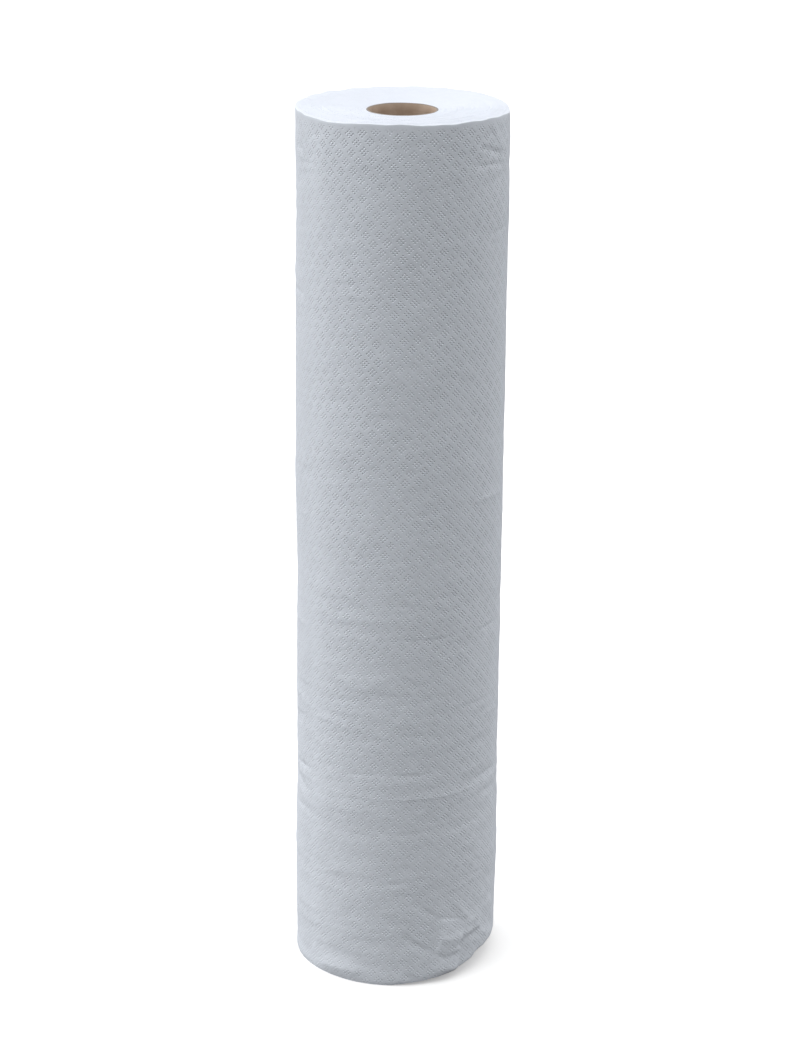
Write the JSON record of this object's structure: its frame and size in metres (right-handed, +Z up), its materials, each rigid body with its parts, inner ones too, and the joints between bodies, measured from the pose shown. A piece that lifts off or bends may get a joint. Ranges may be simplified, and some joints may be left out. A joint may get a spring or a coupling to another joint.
{
  "type": "exam table paper roll",
  "caption": "Upright roll of embossed white examination table paper wound on a thin cardboard core, with one lower edge crushed.",
  "frame": {"origin": "on the roll's axis, in the plane of the lower end on which the roll stands", "axes": "+Z up along the roll's axis; -Y towards the side seen in the picture; +X to the right in it, where the lower edge is crushed; the free end of the web lies at +Y"},
  "size_m": [0.1168, 0.117, 0.5],
  "materials": {
    "paper": "matte",
    "core": "matte"
  },
  "bodies": {
    "root": {"core_tube": "core", "paper_roll": "paper"}
  },
  "joints": []
}
